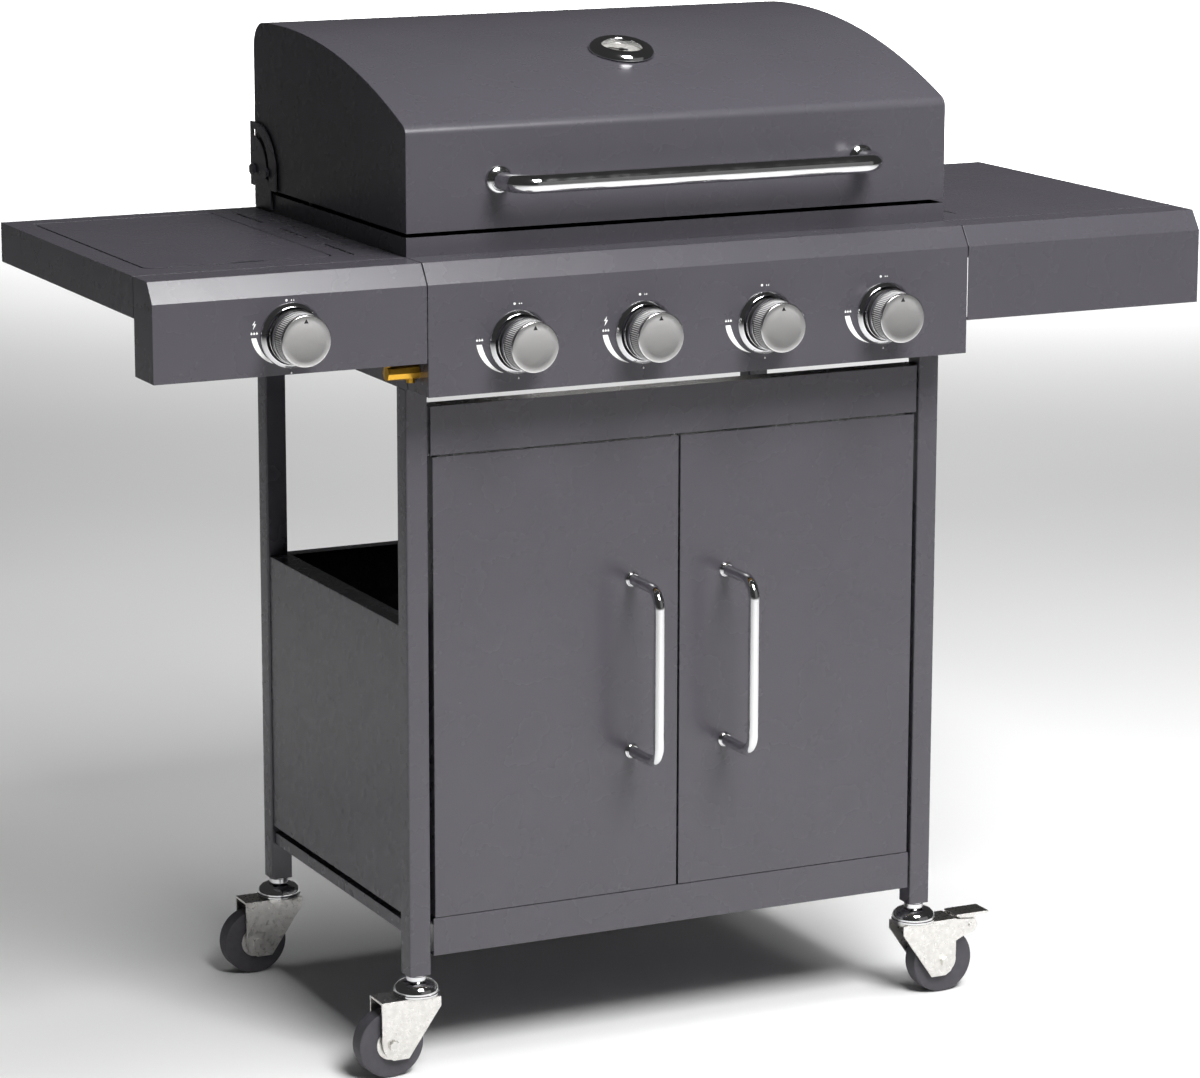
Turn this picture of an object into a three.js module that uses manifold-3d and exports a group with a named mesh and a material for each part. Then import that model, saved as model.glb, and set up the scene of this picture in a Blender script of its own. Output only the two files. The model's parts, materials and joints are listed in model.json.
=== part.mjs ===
// Gas barbecue grill with a side burner, on a two-door cart with casters.
// Millimetres, +Z up. Origin: on the floor under the centre of the whole grill, X right, Y back.
// Every piece is drawn in the "rig" frame: y from the control panel's face, z from the table top.

import * as THREE from 'three';
import { mergeVertices } from 'three/addons/utils/BufferGeometryUtils.js';
import Module from 'manifold-3d';

const wasm = await Module();
wasm.setup();

// Driving dimensions
const floorZ = -890.5;
const panelFrontY = -229;
const tableHalf = 619;
const tableBack = 479;
const tableFront = 55.3;
const apron = 43;
const bodyHalf = 320.4;
const boxFront = 54.5;
const boxBack = 481.4;
const boxTop = 20;
const boxBottom = -140;
const sheet = 1.5;
const thin = 1.2;
const gap = 0.3;

// Cart
const legSize = 25;
const legX = 308.2;
const legFrontY = 71.7;
const legBackY = 473;
const legBottom = -780.7;
const legInner = legX - legSize / 2;
const shelfZ = -724;
const kickTop = -718.2;
const kickBottom = -760;
const railTop = -159.7;
const railBottom = -211.8;
const frontPlane = 59.2;
const frontHalf = 292.5;
const sidePanelTop = -398;
const sidePanelBottom = -716;

// Doors
const doorHalf = 290.4;
const doorGap = 1.25;
const doorTop = -214.2;
const doorBottom = -717.5;
const doorDepth = 15;
const doorPivotX = 285;
const doorPivotY = 66.7;
const handleX = 57;
const handleTopZ = -367.5;
const handleBottomZ = -559;
const handleReach = 66.7;

// Control panel and knobs
const panelTop = -21.5;
const panelBottom = -138.6;
const fasciaBottom = -102.5;
const chamferDepth = 14.5;
const knobXs = [-217, -72.3, 72.3, 217];
const knobZ = -87.2;
const sideKnobX = -470;
const sideKnobZ = -62.5;
const pipeY = 30;
const pipeZ = -115.5;
const pipeEnd = -352;
const burnerZ = -70;

// Hood: front wall, bend, roof arc, back corner, back wall
const hoodBottom = 24.5;
const hoodFront = 54.7;
const hoodBack = 481.5;
const roofCentre = { y: 406, z: -641.4 };
const roofRadius = 850.4;
const bendRadius = 12;
const cornerRadius = 28;
const pivot = { y: 477.2, z: 42.7 };
const stopRadius = 41.5;
const hoodHandleX = 215;
const hoodHandleZ = 75;
const hoodHandleReach = 48;
const gaugeY = 205;

// Side burner
const lid = { x0: -590, x1: -386, y0: 96, y1: 450, skirt: 9 };
const recess = { x0: -592, x1: -384, y0: 94, y1: 453, depth: 38.5 };
const lidPivot = { y: 447, z: -4 };
const sideBurner = { x: -488, y: 273 };

// Casters
const wheelRadius = 37.5;
const wheelHalf = 11;
const trail = 33.5;
const axleZ = floorZ + wheelRadius;
const forkTop = -803.5;
const pedalPivot = { x: 66, z: -814 };

const paint = new THREE.MeshStandardMaterial({ color: 0x5b595e, roughness: 0.45, metalness: 0.35 });
const darkPaint = new THREE.MeshStandardMaterial({ color: 0x2a2827, roughness: 0.55, metalness: 0.3 });
const chrome = new THREE.MeshStandardMaterial({ color: 0xd9d9d9, roughness: 0.12, metalness: 1 });
const zinc = new THREE.MeshStandardMaterial({ color: 0xd6d4d2, roughness: 0.3, metalness: 1 });
const stainless = new THREE.MeshStandardMaterial({ color: 0xb9b7b2, roughness: 0.35, metalness: 1 });
const castIron = new THREE.MeshStandardMaterial({ color: 0x1e1d1c, roughness: 0.7, metalness: 0.3 });
const brass = new THREE.MeshStandardMaterial({ color: 0xb9913f, roughness: 0.35, metalness: 1 });
const rubber = new THREE.MeshStandardMaterial({ color: 0x3b393d, roughness: 0.6, metalness: 0 });

// ---- shapes ----

function polygon(points) {
  return new THREE.Shape(points.map(([u, v]) => new THREE.Vector2(u, v)));
}

function rectangle(u0, u1, v0, v1, radius = 0) {
  if (!radius) return polygon([[u0, v0], [u1, v0], [u1, v1], [u0, v1]]);
  const shape = new THREE.Shape();
  shape.absarc(u1 - radius, v0 + radius, radius, -Math.PI / 2, 0);
  shape.absarc(u1 - radius, v1 - radius, radius, 0, Math.PI / 2);
  shape.absarc(u0 + radius, v1 - radius, radius, Math.PI / 2, Math.PI);
  shape.absarc(u0 + radius, v0 + radius, radius, Math.PI, Math.PI * 1.5);
  return shape;
}

function alongZ(shape, z0, z1, curveSegments = 3) {
  const geometry = new THREE.ExtrudeGeometry(shape, { depth: z1 - z0, bevelEnabled: false, curveSegments });
  return geometry.translate(0, 0, z0);
}

// The outline is drawn in (y, z).
function alongX(shape, x0, x1, curveSegments = 3) {
  const turn = new THREE.Matrix4().set(0, 0, 1, 0, 1, 0, 0, 0, 0, 1, 0, 0, 0, 0, 0, 1);
  return alongZ(shape, x0, x1, curveSegments).applyMatrix4(turn);
}

// The outline is drawn in (x, z).
function alongY(shape, y0, y1, curveSegments = 3) {
  return alongZ(shape, -y1, -y0, curveSegments).rotateX(Math.PI / 2);
}

function box(x0, x1, y0, y1, z0, z1) {
  const geometry = new THREE.BoxGeometry(x1 - x0, y1 - y0, z1 - z0);
  return geometry.translate((x0 + x1) / 2, (y0 + y1) / 2, (z0 + z1) / 2);
}

function rod(from, to, radius, sides = 12) {
  const a = new THREE.Vector3(...from);
  const b = new THREE.Vector3(...to);
  const direction = b.clone().sub(a);
  const geometry = new THREE.CylinderGeometry(radius, radius, direction.length(), sides);
  const turn = new THREE.Quaternion().setFromUnitVectors(new THREE.Vector3(0, 1, 0), direction.normalize());
  return geometry.applyQuaternion(turn).translate(...a.add(b).multiplyScalar(0.5).toArray());
}

// A profile of [radius, height] pairs turned about Z.
function turned(profile, segments = 20) {
  const points = profile.map(([r, h]) => new THREE.Vector2(r, h));
  return new THREE.LatheGeometry(points, segments).rotateX(Math.PI / 2);
}

// A path given as stations, each with its own tangent, so that straight runs need no steps.
class StationPath extends THREE.Curve {
  constructor(stations) {
    super();
    this.stations = stations;
  }

  at(t) {
    return this.stations[Math.round(t * (this.stations.length - 1))];
  }

  getPointAt(t) {
    return this.at(t).point.clone();
  }

  getTangentAt(t) {
    return this.at(t).tangent.clone();
  }
}

function tube(stations, radius, sides) {
  const section = new THREE.Shape().absarc(0, 0, radius, 0, Math.PI * 2);
  const settings = { steps: stations.length - 1, curveSegments: sides / 2, extrudePath: new StationPath(stations) };
  return new THREE.ExtrudeGeometry(section, settings);
}

// ---- solids ----

function signedVolume(geometry) {
  const index = geometry.index.array;
  const a = new THREE.Vector3();
  const b = new THREE.Vector3();
  const c = new THREE.Vector3();
  let volume = 0;
  for (let i = 0; i < index.length; i += 3) {
    a.fromBufferAttribute(geometry.attributes.position, index[i]);
    b.fromBufferAttribute(geometry.attributes.position, index[i + 1]);
    c.fromBufferAttribute(geometry.attributes.position, index[i + 2]);
    volume += a.dot(b.cross(c)) / 6;
  }
  return volume;
}

function solid(shape) {
  if (!shape.isBufferGeometry) return shape;
  const bare = shape.clone();
  bare.deleteAttribute('normal');
  bare.deleteAttribute('uv');
  const merged = mergeVertices(bare, 1e-3);
  const corners = Uint32Array.from(merged.index.array);
  if (signedVolume(merged) < 0) corners.reverse();
  const vertProperties = Float32Array.from(merged.attributes.position.array);
  return new wasm.Manifold(new wasm.Mesh({ numProp: 3, vertProperties, triVerts: corners }));
}

function join(...shapes) {
  return shapes.map(solid).reduce((whole, next) => whole.add(next));
}

function cut(body, ...tools) {
  return tools.map(solid).reduce((left, tool) => left.subtract(tool), solid(body));
}

function geometryOf(body) {
  const mesh = solid(body).getMesh();
  const geometry = new THREE.BufferGeometry();
  geometry.setAttribute('position', new THREE.BufferAttribute(mesh.vertProperties, 3));
  geometry.setIndex(new THREE.BufferAttribute(mesh.triVerts, 1));
  return geometry;
}

// Mirrors a finished solid to the other side of the grill.
function mirrored(body) {
  return geometryOf(body).scale(-1, 1, 1);
}

const rig = new THREE.Group();
rig.position.set(0, panelFrontY, -floorZ);

function add(name, body, material, parent = rig) {
  const mesh = new THREE.Mesh(geometryOf(body), material);
  mesh.name = name;
  mesh.geometry.computeVertexNormals();
  parent.add(mesh);
  return mesh;
}

// ---- cart ----

function legTube() {
  const half = legSize / 2;
  const outline = rectangle(-half, half, -half, half, 2);
  outline.holes.push(rectangle(-half + thin, half - thin, -half + thin, half - thin));
  return alongZ(outline, legBottom, boxBottom - gap, 1);
}

function addLegs() {
  for (const [side, x] of [['left', -legX], ['right', legX]]) {
    add(`leg_front_${side}`, legTube(), paint).position.set(x, legFrontY, 0);
    add(`leg_back_${side}`, legTube(), paint).position.set(x, legBackY, 0);
  }
}

function channel(outerY, innerY, z0, z1, thickness) {
  const wall = outerY + thickness * Math.sign(innerY - outerY);
  return polygon([
    [outerY, z0], [outerY, z1], [innerY, z1], [innerY, z1 - thickness],
    [wall, z1 - thickness], [wall, z0 + thickness], [innerY, z0 + thickness], [innerY, z0],
  ]);
}

function addCartPanels() {
  const between = [legFrontY + legSize / 2 + gap, legBackY - legSize / 2 - gap];
  const side = alongY(channel(318.2, 292.2, sidePanelBottom, sidePanelTop, thin), ...between);
  add('side_panel_right', side, paint);
  add('side_panel_left', mirrored(side), paint);
  const back = channel(legBackY + 12, legBackY - 5, -740, sidePanelTop - 2, thin);
  add('back_panel', alongX(back, -legInner + gap, legInner - gap), paint);
}

function doorPins(x0, z0, z1, radius) {
  return rod([x0, doorPivotY, z0], [x0, doorPivotY, z1], radius, 10);
}

function addBottomShelf() {
  const floor = shelfZ - sheet;
  const wide = legX + 8.3;
  const y0 = legFrontY + legSize / 2 + gap;
  const y1 = legBackY - legSize / 2 - gap;
  const body = join(
    box(-wide, wide, y0, y1, floor, shelfZ),
    box(-frontHalf, frontHalf, frontPlane, y0 + 1, floor, shelfZ),
    box(-legInner + gap, legInner - gap, y1 - 1, 482, floor, shelfZ),
    box(-frontHalf, frontHalf, frontPlane, frontPlane + sheet, kickBottom, kickTop),
    box(-frontHalf, frontHalf, frontPlane, frontPlane + 13, kickBottom, kickBottom + sheet),
    box(-wide, -wide + sheet, y0, y1, shelfZ - 14, shelfZ),
    box(wide - sheet, wide, y0, y1, shelfZ - 14, shelfZ),
    box(-legInner + gap, legInner - gap, 482 - sheet, 482, shelfZ - 14, shelfZ),
  );
  const pins = [-doorPivotX, doorPivotX].map((x) => doorPins(x, floor - 1, shelfZ + 1, 3.4));
  add('bottom_shelf', cut(body, ...pins), paint);
}

function addHeaderRail() {
  const body = join(
    alongX(channel(frontPlane, frontPlane + 25, railBottom, railTop, sheet), -frontHalf, frontHalf),
    box(-legInner + gap, -frontHalf + 3.5, frontPlane + 4, frontPlane + 25, railBottom, railTop),
    box(frontHalf - 3.5, legInner - gap, frontPlane + 4, frontPlane + 25, railBottom, railTop),
  );
  const pins = [-doorPivotX, doorPivotX].map((x) => doorPins(x, railBottom - 1, railBottom + 3, 3.4));
  add('door_header_rail', cut(body, ...pins), paint);
}

// ---- doors ----

function doorPan() {
  const pan = cut(
    box(doorGap, doorHalf, frontPlane, frontPlane + doorDepth, doorBottom, doorTop),
    box(doorGap + thin, doorHalf - thin, frontPlane + thin, frontPlane + doorDepth + 1,
      doorBottom + thin, doorTop - thin),
  );
  return join(pan, doorPins(doorPivotX, doorTop - 4, doorTop + 8, 3),
    doorPins(doorPivotX, doorBottom - 10, doorBottom + 4, 3));
}

// A bar that stands off a flat face at both ends, with rounded corners.
function barHandle(start, end, out, bend, radius, sides) {
  const a = new THREE.Vector3(...start);
  const b = new THREE.Vector3(...end);
  const away = new THREE.Vector3(...out);
  const run = b.clone().sub(a).normalize();
  const reach = away.length();
  away.normalize();
  const station = (base, way, angle) => ({
    point: base.clone()
      .addScaledVector(away, reach - bend + bend * Math.sin(angle))
      .addScaledVector(run, way * bend * (1 - Math.cos(angle))),
    tangent: away.clone().multiplyScalar(way * Math.cos(angle)).addScaledVector(run, Math.sin(angle)),
  });
  const turns = [0, 1, 2, 3].map((i) => i * Math.PI / 6);
  const stations = [
    { point: a, tangent: away.clone() },
    ...turns.map((angle) => station(a, 1, angle)),
    ...turns.map((angle) => station(b, -1, angle)).reverse(),
    { point: b, tangent: away.clone().negate() },
  ];
  return tube(stations, radius, sides);
}

function addDoors() {
  add('door_right', doorPan(), paint);
  add('door_left', mirrored(doorPan()), paint);
  const face = frontPlane - gap;
  const feet = [handleTopZ, handleBottomZ].map((z) => rod([handleX, face, z], [handleX, face - 2, z], 8, 12));
  const bar = barHandle([handleX, face - 0.5, handleTopZ], [handleX, face - 0.5, handleBottomZ],
    [0, -handleReach, 0], 20, 6, 10);
  const handle = join(bar, ...feet);
  add('door_handle_right', handle, chrome);
  add('door_handle_left', mirrored(handle), chrome);
}

// ---- firebox and its insides ----

// A four-sided funnel from a rectangle round (0, middleY) down to a smaller one of the same shape.
function hopper(halfX, halfY, middleY, z0, z1, bottomHalf) {
  const slope = new THREE.CylinderGeometry(halfX * Math.SQRT2, bottomHalf * Math.SQRT2, z1 - z0, 4);
  slope.rotateX(Math.PI / 2).rotateZ(Math.PI / 4).scale(1, halfY / halfX, 1);
  return slope.translate(0, middleY, (z0 + z1) / 2);
}

function addFirebox() {
  const wall = 2;
  const inside = bodyHalf - wall;
  const y0 = boxFront + wall;
  const y1 = boxBack - wall;
  const middle = (y0 + y1) / 2;
  const halfY = (y1 - y0) / 2;
  const slopeTop = -90;
  const drainZ = -112;
  const bowl = join(
    box(-inside, inside, y0, y1, slopeTop, boxTop + 1),
    hopper(inside - 4, halfY - 4, middle, drainZ, slopeTop + 1, 60),
    box(-50, 50, middle - 30, middle + 30, drainZ - 5, drainZ + 1),
  );
  const ledge = cut(box(-inside - 1, inside + 1, y0 - 1, y1 + 1, -0.8, 1.7),
    box(-300, 300, y0 + 10, y1 - 10, -2, 3));
  const underside = cut(box(-inside, inside, y0, y1, boxBottom - 1, slopeTop - wall),
    hopper(inside - 1, halfY - 1, middle, drainZ - wall, slopeTop - wall + 1, 63));
  const shell = cut(box(-bodyHalf, bodyHalf, boxFront, boxBack, boxBottom, boxTop), bowl, underside,
    box(-151, 151, boxBack - 5, boxBack + 1, -137.5, -115.4),
    ...knobXs.map((x) => rod([x, boxFront - 1, burnerZ], [x, y0 + 1, burnerZ], 10.8, 12)));
  const gussets = [-1, 1].flatMap((side) => [[boxFront + 1, boxFront + 31], [boxBack - 22, boxBack - 1]].map(
    ([a, b]) => box(...[side * (bodyHalf - 26), side * (bodyHalf - 1)].sort((p, q) => p - q), a, b, -139.8, -138.3)));
  const rail = polygon([[140, -139.4], [154, -139.4], [154, -120], [152, -120], [152, -137.7], [140, -137.7]]);
  const rails = [alongY(rail, boxFront + 1, boxBack - 1), mirrored(alongY(rail, boxFront + 1, boxBack - 1))];
  const burnerRest = box(-inside - 1, inside + 1, y1 - 20, y1 + 1, -73.6, -71.4);
  add('firebox', join(shell, solid(ledge), burnerRest, ...gussets, ...rails), darkPaint);
}

function addBurners() {
  knobXs.forEach((x, i) => {
    const body = alongY(rectangle(-16, 16, burnerZ - 8, burnerZ + 8, 7), 75, 440, 1);
    const neck = rod([0, 47, burnerZ], [0, 80, burnerZ], 10, 12);
    const tab = box(-8, 8, 435, 472, burnerZ - 1, burnerZ + 1);
    const mouth = rod([0, 46, burnerZ], [0, 72, burnerZ], 7.5, 12);
    add(`burner_${i + 1}`, cut(join(body, neck, tab), mouth), stainless).position.x = x;
  });
}

function grate(x0, x1) {
  const bars = 12;
  const frame = 9;
  const barWidth = 7;
  const pitch = (x1 - x0 - 2 * frame + barWidth) / bars;
  const slots = [];
  for (let i = 0; i < bars; i += 1) {
    const left = x0 + frame + i * pitch;
    slots.push(box(left, left + pitch - barWidth, 68, 264, 1, 10));
    slots.push(box(left, left + pitch - barWidth, 272, 468, 1, 10));
  }
  return cut(box(x0, x1, 58, 478, 2, 9), ...slots);
}

function addCookingGrates() {
  add('cooking_grate_right', grate(1, 306), castIron);
  add('cooking_grate_left', grate(-306, -1), castIron);
}

function addWarmingRack() {
  const slots = [];
  for (let i = 0; i < 6; i += 1) {
    const y = 341 + i * 16.8;
    for (const [x0, x1] of [[-308, -103], [-99, 99], [103, 308]]) slots.push(box(x0, x1, y, y + 13, 91, 97));
  }
  const posts = [-1, 1].flatMap((side) => [339, 441].map((y) =>
    rod([side * 311, y, 2], [side * 311, y, 94], 2.5, 6)));
  const rack = cut(box(-314, 314, 336, 444, 92, 96), ...slots);
  add('warming_rack', join(rack, ...posts), stainless);
}

function addGreaseTray() {
  const body = cut(box(-150, 150, 110, 486, -137.2, -116),
    box(-148.8, 148.8, 111.2, 480, -136, -115),
    box(-151, -60, 482.2, 487, -138, -115),
    box(60, 151, 482.2, 487, -138, -115));
  add('grease_tray', body, zinc);
}

function addGasManifold() {
  const valves = [...knobXs.map((x) => [x, knobZ, pipeZ - 5, burnerZ]), [sideKnobX, sideKnobZ, -80, sideKnobZ]];
  const blocks = valves.map(([x, z, low, jetZ]) => cut(
    join(box(x - 11, x + 11, 12, 44, low, jetZ + 9), rod([x, 43, jetZ], [x, 50, jetZ], 4, 8)),
    rod([x, 11, z], [x, 30, z], 4.6, 8)));
  const runs = [
    rod([pipeEnd - 3, pipeY, pipeZ], [300, pipeY, pipeZ], 8, 8),
    rod([pipeEnd, pipeY, pipeZ - 3], [pipeEnd, pipeY, sideKnobZ + 4], 4, 8),
    rod([pipeEnd + 3, pipeY, sideKnobZ], [sideKnobX + 8, pipeY, sideKnobZ], 4, 8),
    rod([-327, pipeY, pipeZ], [-327, pipeY, pipeZ - 11], 5, 8),
  ];
  add('gas_manifold', join(...runs, ...blocks), brass);
}

// ---- control panels ----

function fasciaOutline(bottom) {
  const slope = 0.6;
  return polygon([
    [0, bottom], [0, panelTop], [chamferDepth, 0], [boxFront - 0.5, 0], [boxFront - 0.5, -sheet],
    [chamferDepth + slope, -sheet], [sheet, panelTop - slope], [sheet, bottom + sheet],
    [13, bottom + sheet], [13, bottom],
  ]);
}

function endPlate(bottom, x0, x1) {
  const back = boxFront - 0.5;
  return alongX(polygon([[0, bottom], [0, panelTop], [chamferDepth, 0], [back, 0], [back, bottom]]), x0, x1);
}

function stemHole(x, z) {
  return rod([x, -1, z], [x, 3, z], 5, 12);
}

function addControlPanels() {
  const half = 320;
  const main = join(alongX(fasciaOutline(panelBottom), -half, half),
    endPlate(panelBottom, -half, -half + sheet), endPlate(panelBottom, half - sheet, half));
  const pipeHole = rod([-half - 1, pipeY, pipeZ], [-half + 3, pipeY, pipeZ], 9.5, 12);
  add('control_panel', cut(main, pipeHole, ...knobXs.map((x) => stemHole(x, knobZ))), paint);
  const fascia = join(alongX(fasciaOutline(fasciaBottom), 321, tableHalf),
    endPlate(fasciaBottom, tableHalf - sheet, tableHalf));
  add('side_fascia_right', fascia, paint);
  add('side_control_panel', cut(mirrored(fascia), stemHole(sideKnobX, sideKnobZ)), paint);
}

function addKnobs() {
  const profile = [
    [0, 26], [4.4, 26], [4.4, 10.5], [28.4, 10.5], [28.4, 17], [27, 18], [27, 37], [24.5, 40], [0, 38.4],
  ];
  const seats = [...knobXs.map((x, i) => [`main_${i + 1}`, x, knobZ]), ['side', sideKnobX, sideKnobZ]];
  for (const [name, x, z] of seats) {
    add(`valve_stem_${name}`, rod([0, -25, 0], [0, 24, 0], 4, 10), brass).position.set(x, 0, z);
    const knob = turned(profile, 20).rotateX(Math.PI / 2);
    add(`knob_${name}`, knob, chrome).position.set(x, 0, z);
  }
}

// ---- side tables ----

function tableShell(x0, x1) {
  return cut(box(x0, x1, tableFront, tableBack, -apron, 0),
    box(x0 + sheet, x1 - sheet, tableFront + sheet, tableBack - sheet, -apron - 1, -sheet));
}

// Cooling slots beside the hood, in two staggered rows.
function tableSlots() {
  const rows = [[361, [[98, 184], [229, 312], [357, 441]]], [341, [[163, 249], [296, 375]]]];
  return rows.flatMap(([x, slots]) => slots.map(([y0, y1]) =>
    alongZ(rectangle(x - 2, x + 2, y0, y1), -sheet - 1, 1)));
}

// The back corners are nearly square, so the open lid stands between them.
function recessOutline(grow) {
  const front = 12 + grow;
  const back = 2 + grow;
  const [x0, x1, y0, y1] = [recess.x0 - grow, recess.x1 + grow, recess.y0 - grow, recess.y1 + grow];
  const shape = new THREE.Shape();
  shape.absarc(x1 - front, y0 + front, front, -Math.PI / 2, 0);
  shape.absarc(x1 - back, y1 - back, back, 0, Math.PI / 2);
  shape.absarc(x0 + back, y1 - back, back, Math.PI / 2, Math.PI);
  shape.absarc(x0 + front, y0 + front, front, Math.PI, Math.PI * 1.5);
  return shape;
}

function addSideTables() {
  add('side_table_right', cut(tableShell(bodyHalf + 0.4, tableHalf), ...tableSlots()), paint);
  const { x0, x1, depth } = recess;
  const bowl = alongZ(recessOutline(sheet), -depth - sheet, -0.5);
  const hollow = alongZ(recessOutline(0), -depth, 1);
  const neckHole = rod([sideBurner.x, sideBurner.y, -depth - 3], [sideBurner.x, sideBurner.y, -depth + 1], 14, 16);
  const pinHole = rod([x0 - 3, lidPivot.y, lidPivot.z], [x1 + 3, lidPivot.y, lidPivot.z], 2.4, 10);
  const slots = tableSlots().map((slot) => mirrored(slot));
  const shell = tableShell(-tableHalf, -bodyHalf - 0.4);
  add('side_table_left', cut(join(shell, bowl), hollow, neckHole, pinHole, ...slots), paint);
}

function addSideBurner() {
  const { x, y } = sideBurner;
  const head = turned([[0, -37], [34, -37], [36, -33], [36, -26], [28, -21], [0, -20]], 20).translate(x, y, 0);
  const body = join(head, rod([x, y, -68], [x, y, -30], 11, 12),
    rod([sideKnobX, 56, sideKnobZ], [x, y, sideKnobZ], 9, 12));
  const mouth = rod([sideKnobX, 55, sideKnobZ], [sideKnobX - 1.5, 74, sideKnobZ], 6, 12);
  add('side_burner', cut(body, mouth), castIron);
  const arms = [0, 1].map((k) => box(-90, 90, -3, 3, -16, -8).rotateZ(k * Math.PI / 2));
  const ring = cut(rod([0, 0, -16], [0, 0, -9], 62, 16), rod([0, 0, -17], [0, 0, -8], 55, 16));
  const feet = [0, 1, 2, 3].map((k) => box(84, 90, -3, 3, -recess.depth + gap, -8).rotateZ(k * Math.PI / 2));
  add('pan_support', join(ring, ...arms, ...feet), castIron).position.set(x, y, 0);
}

function addSideBurnerLid() {
  const { x0, x1, y0, y1, skirt } = lid;
  const pan = cut(alongZ(rectangle(x0, x1, y0, y1, 10), -skirt, 0.2),
    alongZ(rectangle(x0 + thin, x1 - thin, y0 + thin, y1 - thin, 9), -skirt - 1, 0.2 - thin));
  const notch = alongZ(new THREE.Shape().absellipse(-481, y0, 20, 7, 0, Math.PI * 2), -skirt - 1, 1, 8);
  const pins = [[x0 - 3.2, x0 + 2], [x1 - 2, x1 + 3.2]].map(([a, b]) =>
    rod([a, lidPivot.y, lidPivot.z], [b, lidPivot.y, lidPivot.z], 2, 10));
  add('side_burner_lid', join(cut(pan, notch), ...pins), paint);
}

// ---- hood ----

function hoodOutline(inset) {
  const bendY = hoodFront + bendRadius;
  const cornerY = hoodBack - cornerRadius;
  const centreZ = (radius, y) => roofCentre.z + Math.sqrt((roofRadius - radius) ** 2 - (y - roofCentre.y) ** 2);
  const bendZ = centreZ(bendRadius, bendY);
  const cornerZ = centreZ(cornerRadius, cornerY);
  const bendAngle = Math.atan2(bendZ - roofCentre.z, bendY - roofCentre.y);
  const cornerAngle = Math.atan2(cornerZ - roofCentre.z, cornerY - roofCentre.y);
  const bottom = hoodBottom - (inset ? 1 : 0);
  const shape = new THREE.Shape();
  shape.moveTo(hoodFront + inset, bottom);
  shape.lineTo(hoodFront + inset, bendZ);
  shape.absarc(bendY, bendZ, bendRadius - inset, Math.PI, bendAngle, true);
  shape.absarc(roofCentre.y, roofCentre.z, roofRadius - inset, bendAngle, cornerAngle, true);
  shape.absarc(cornerY, cornerZ, cornerRadius - inset, cornerAngle, 0, true);
  shape.lineTo(hoodBack - inset, bottom);
  return shape;
}

function gaugeSeat() {
  const tilt = Math.asin((roofCentre.y - gaugeY) / roofRadius);
  return { tilt, z: roofCentre.z + roofRadius * Math.cos(tilt) };
}

function addHood() {
  const seat = gaugeSeat();
  const stopY = pivot.y - stopRadius;
  const end = bodyHalf;
  const stopBolts = [-1, 1].flatMap((side) => [
    rod([side * (end - 1), stopY, pivot.z], [side * (end + 6), stopY, pivot.z], 2.7, 10),
    rod([side * (end + 3.6), stopY, pivot.z], [side * (end + 6.6), stopY, pivot.z], 6, 6),
  ]);
  const pivotHole = rod([-end - 1, pivot.y, pivot.z], [end + 1, pivot.y, pivot.z], 3, 12);
  const probeHole = rod([0, 0, -5], [0, 0, 5], 5.2, 12).rotateX(seat.tilt).translate(0, gaugeY, seat.z);
  const shell = cut(alongX(hoodOutline(0), -end, end, 4),
    alongX(hoodOutline(thin), -end + thin, end - thin, 4), probeHole);
  add('hood_shell', join(cut(shell, pivotHole), ...stopBolts), paint);
}

function addHoodHandle() {
  const face = hoodFront - gap;
  const bosses = [-1, 1].map((side) =>
    rod([side * hoodHandleX, face, hoodHandleZ], [side * hoodHandleX, face - 5, hoodHandleZ], 15, 12));
  const bar = barHandle([-hoodHandleX, face - 0.5, hoodHandleZ], [hoodHandleX, face - 0.5, hoodHandleZ],
    [0, -hoodHandleReach, 0], 22, 10, 12);
  add('hood_handle', join(bar, ...bosses), chrome);
}

function addThermometer() {
  const seat = gaugeSeat();
  const profile = [
    [0, -50], [4.5, -50], [4.5, 0.8], [36, 0.8], [36, 3], [29, 9.2], [25, 8], [24, 5], [0, 5],
  ];
  const gauge = add('thermometer', turned(profile, 20), chrome);
  gauge.rotation.x = seat.tilt;
  gauge.position.set(0, gaugeY, seat.z);
}

// Fixed to the firebox; its curved slot guides the hood's stop bolt.
function hingeBracket() {
  const x0 = bodyHalf + 1.2;
  const x1 = x0 + 2;
  const plate = new THREE.Shape();
  plate.moveTo(427, 3);
  plate.lineTo(427, hoodBottom);
  plate.lineTo(412, hoodBottom);
  plate.lineTo(412, 42);
  plate.absellipse(470, 42, 58, 54, Math.PI, Math.PI / 2, true);
  plate.lineTo(487.5, 96);
  plate.lineTo(487.5, hoodBottom);
  plate.lineTo(475, hoodBottom);
  plate.lineTo(475, 3);
  const slot = new THREE.Shape();
  slot.absarc(pivot.y, pivot.z, stopRadius + 3.6, Math.PI * 1.06, Math.PI * 0.49, true);
  slot.absarc(pivot.y, pivot.z, stopRadius - 3.6, Math.PI * 0.49, Math.PI * 1.06, false);
  return join(
    cut(alongX(plate, x0, x1, 6), alongX(slot, x0 - 1, x1 + 1, 6)),
    box(bodyHalf + gap, x1, 427, 475, 3, boxTop - 2),
    rod([bodyHalf - 4, pivot.y, pivot.z], [x1 + 1, pivot.y, pivot.z], 2.6, 12),
    rod([x1 - 0.5, pivot.y, pivot.z], [x1 + 4, pivot.y, pivot.z], 6.5, 6),
  );
}

function addHingeBrackets() {
  add('hood_hinge_bracket_right', hingeBracket(), darkPaint);
  add('hood_hinge_bracket_left', mirrored(hingeBracket()), darkPaint);
}

// ---- casters ----

function casterStem() {
  return turned([
    [0, -810], [8, -810], [8, forkTop - 3.2], [5, forkTop - 3.2], [5, forkTop + 0.3], [25, forkTop + 0.3],
    [25, forkTop + 4], [20, -791], [10.6, -787], [10.6, -756], [0, -756],
  ], 14);
}

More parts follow.
